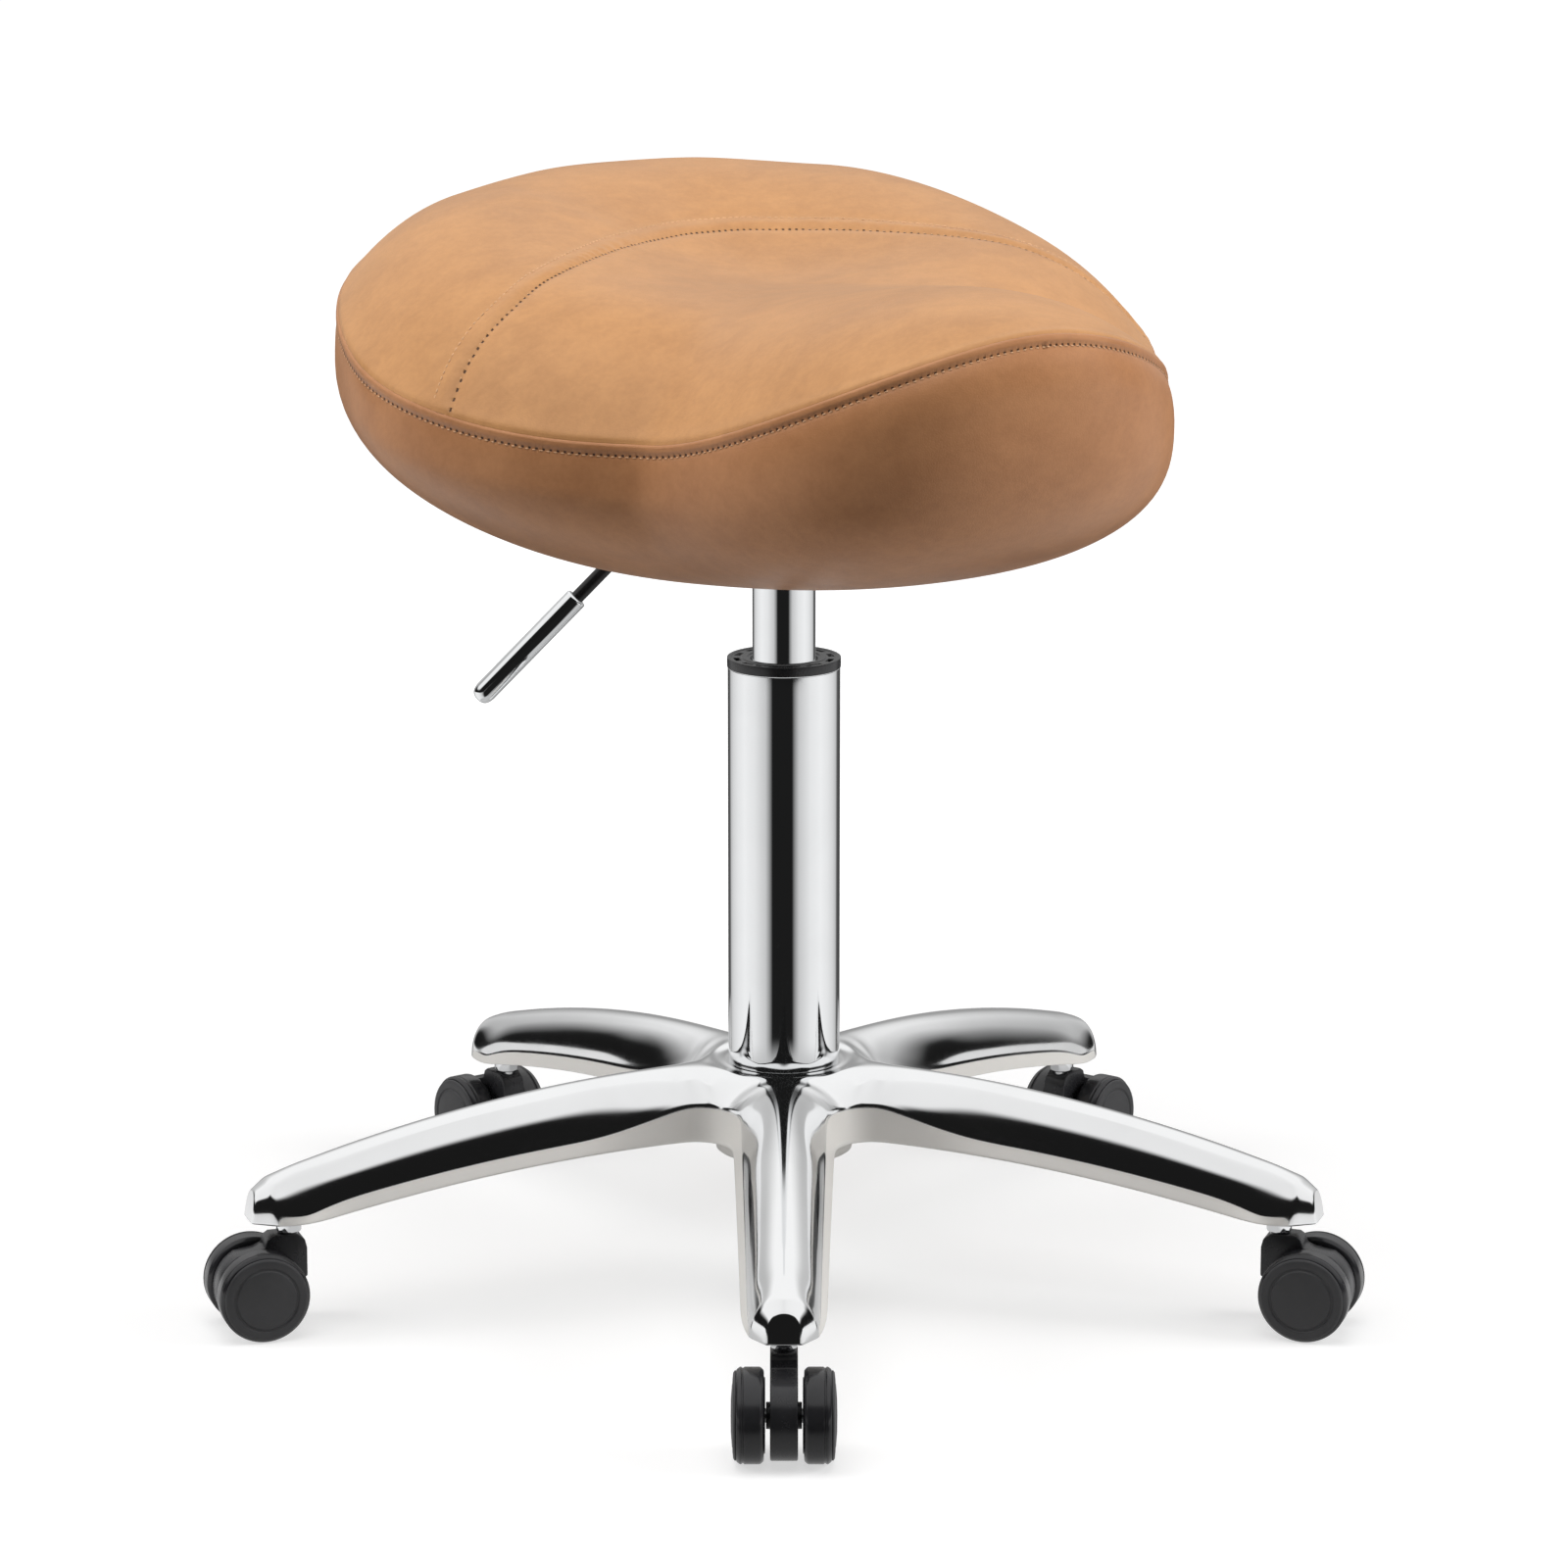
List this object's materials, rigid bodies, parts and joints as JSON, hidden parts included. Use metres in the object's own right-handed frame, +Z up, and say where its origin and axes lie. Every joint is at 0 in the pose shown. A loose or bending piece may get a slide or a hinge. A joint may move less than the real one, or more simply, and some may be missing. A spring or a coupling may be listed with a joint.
{
  "type": "saddle stool",
  "caption": "Height-adjustable saddle stool: a padded saddle seat on a gas lift column over a star base with twin-wheel swivel casters and a lift lever.",
  "frame": {"origin": "on the floor, under the middle of the footprint", "axes": "+Z up along the column, -Y towards the front of the seat (the pommel), +X to the left of a sitter who faces the front"},
  "size_m": [0.5131, 0.4992, 0.494],
  "materials": {
    "leather_top": "smooth coated leather with a soft sheen",
    "leather_band": "smooth coated leather with a soft sheen",
    "foam": "open moulded foam",
    "plywood": "bare plywood",
    "polished_casting": "mirror polished casting",
    "bright_steel": "bright chrome plate",
    "plain_steel": "plain zinc plated steel",
    "black_steel": "black satin paint",
    "black_plastic": "black moulded plastic with a gloss",
    "wheel_plastic": "black nylon with a gloss",
    "pale_plastic": "natural acetal",
    "black_rubber": "black rubber",
    "brass": "turned brass"
  },
  "bodies": {
    "base": {"star_base": "polished_casting", "caster_sockets": "black_plastic", "caster_stems": "bright_steel", "column_tube": "bright_steel", "column_end_plate": "plain_steel", "column_cap": "black_plastic", "guide_bush": "pale_plastic", "bearing_lower_race": "plain_steel"},
    "spindle": {"bearing_balls": "bright_steel", "bearing_upper_race": "plain_steel", "piston_rod": "bright_steel", "piston": "brass", "piston_seal": "black_rubber", "lift_buffer": "black_rubber", "rod_clip": "plain_steel"},
    "seat": {"lift_cylinder": "bright_steel", "cylinder_gland": "black_plastic", "taper_socket": "black_steel", "seat_plate": "black_steel", "plate_bolts": "plain_steel", "board_nuts": "plain_steel", "seat_board": "plywood", "seat_foam": "foam", "cover_top": "leather_top", "cover_band": "leather_band", "lever_pin": "plain_steel"},
    "lever": {"lever_rod": "black_steel", "lever_grip": "bright_steel"},
    "valve": {"valve_button": "brass"},
    "caster_1": {"caster_1_body": "black_plastic", "caster_1_axle": "plain_steel"},
    "caster_1_left": {"caster_1_wheel_left": "wheel_plastic", "caster_1_cover_left": "black_plastic"},
    "caster_1_right": {"caster_1_wheel_right": "wheel_plastic", "caster_1_cover_right": "black_plastic"},
    "caster_2": {"caster_2_body": "black_plastic", "caster_2_axle": "plain_steel"},
    "caster_2_left": {"caster_2_wheel_left": "wheel_plastic", "caster_2_cover_left": "black_plastic"},
    "caster_2_right": {"caster_2_wheel_right": "wheel_plastic", "caster_2_cover_right": "black_plastic"},
    "caster_3": {"caster_3_body": "black_plastic", "caster_3_axle": "plain_steel"},
    "caster_3_left": {"caster_3_wheel_left": "wheel_plastic", "caster_3_cover_left": "black_plastic"},
    "caster_3_right": {"caster_3_wheel_right": "wheel_plastic", "caster_3_cover_right": "black_plastic"},
    "caster_4": {"caster_4_body": "black_plastic", "caster_4_axle": "plain_steel"},
    "caster_4_left": {"caster_4_wheel_left": "wheel_plastic", "caster_4_cover_left": "black_plastic"},
    "caster_4_right": {"caster_4_wheel_right": "wheel_plastic", "caster_4_cover_right": "black_plastic"},
    "caster_5": {"caster_5_body": "black_plastic", "caster_5_axle": "plain_steel"},
    "caster_5_left": {"caster_5_wheel_left": "wheel_plastic", "caster_5_cover_left": "black_plastic"},
    "caster_5_right": {"caster_5_wheel_right": "wheel_plastic", "caster_5_cover_right": "black_plastic"}
  },
  "joints": [
    {"name": "seat_swivel", "type": "hinge", "parent": "base", "child": "spindle", "pos_m": [0.00424, -0.01472, 0.065], "axis": [0, 0, 1], "continuous": true},
    {"name": "gas_lift", "type": "slide", "parent": "spindle", "child": "seat", "axis": [0, 0, 1], "range_m": [0, 0.12]},
    {"name": "lever_lift", "type": "hinge", "parent": "seat", "child": "lever", "pos_m": [-0.02459, 0.00329, 0.3575], "axis": [0.5299, 0.848, 0], "range_deg": [0, 5], "stiffness_Nm_per_rad": 2, "springref_deg": -8.59},
    {"name": "valve_press", "type": "slide", "parent": "seat", "child": "valve", "axis": [0, 0, -1], "range_m": [0, 0.003]},
    {"name": "caster_1_swivel", "type": "hinge", "parent": "base", "child": "caster_1", "pos_m": [-0.01176, 0.21422, 0.044], "axis": [0, 0, 1], "continuous": true},
    {"name": "caster_1_roll_left", "type": "hinge", "parent": "caster_1", "child": "caster_1_left", "pos_m": [-0.01281, 0.22918, 0.02], "axis": [-0.9976, -0.0698, 0], "continuous": true},
    {"name": "caster_1_roll_right", "type": "hinge", "parent": "caster_1", "child": "caster_1_right", "pos_m": [-0.01281, 0.22918, 0.02], "axis": [-0.9976, -0.0698, 0], "continuous": true},
    {"name": "caster_2_swivel", "type": "hinge", "parent": "base", "child": "caster_2", "pos_m": [-0.21844, 0.0408, 0.044], "axis": [0, 0, 1], "continuous": true},
    {"name": "caster_2_roll_left", "type": "hinge", "parent": "caster_2", "child": "caster_2_left", "pos_m": [-0.23299, 0.04443, 0.02], "axis": [-0.2419, -0.9703, 0], "continuous": true},
    {"name": "caster_2_roll_right", "type": "hinge", "parent": "caster_2", "child": "caster_2_right", "pos_m": [-0.23299, 0.04443, 0.02], "axis": [-0.2419, -0.9703, 0], "continuous": true},
    {"name": "caster_3_swivel", "type": "hinge", "parent": "base", "child": "caster_3", "pos_m": [-0.11737, -0.20935, 0.044], "axis": [0, 0, 1], "continuous": true},
    {"name": "caster_3_roll_left", "type": "hinge", "parent": "caster_3", "child": "caster_3_left", "pos_m": [-0.12532, -0.22207, 0.02], "axis": [0.848, -0.5299, 0], "continuous": true},
    {"name": "caster_3_roll_right", "type": "hinge", "parent": "caster_3", "child": "caster_3_right", "pos_m": [-0.12532, -0.22207, 0.02], "axis": [0.848, -0.5299, 0], "continuous": true},
    {"name": "caster_4_swivel", "type": "hinge", "parent": "base", "child": "caster_4", "pos_m": [0.15177, -0.19053, 0.044], "axis": [0, 0, 1], "continuous": true},
    {"name": "caster_4_roll_left", "type": "hinge", "parent": "caster_4", "child": "caster_4_left", "pos_m": [0.16141, -0.20202, 0.02], "axis": [0.766, 0.6428, 0], "continuous": true},
    {"name": "caster_4_roll_right", "type": "hinge", "parent": "caster_4", "child": "caster_4_right", "pos_m": [0.16141, -0.20202, 0.02], "axis": [0.766, 0.6428, 0], "continuous": true},
    {"name": "caster_5_swivel", "type": "hinge", "parent": "base", "child": "caster_5", "pos_m": [0.21703, 0.07125, 0.044], "axis": [0, 0, 1], "continuous": true},
    {"name": "caster_5_roll_left", "type": "hinge", "parent": "caster_5", "child": "caster_5_left", "pos_m": [0.23094, 0.07687, 0.02], "axis": [-0.3746, 0.9272, 0], "continuous": true},
    {"name": "caster_5_roll_right", "type": "hinge", "parent": "caster_5", "child": "caster_5_right", "pos_m": [0.23094, 0.07687, 0.02], "axis": [-0.3746, 0.9272, 0], "continuous": true}
  ],
  "couplings": [
    {"joint": "valve_press", "follows": "lever_lift", "m_per_rad": 0.034}
  ]
}
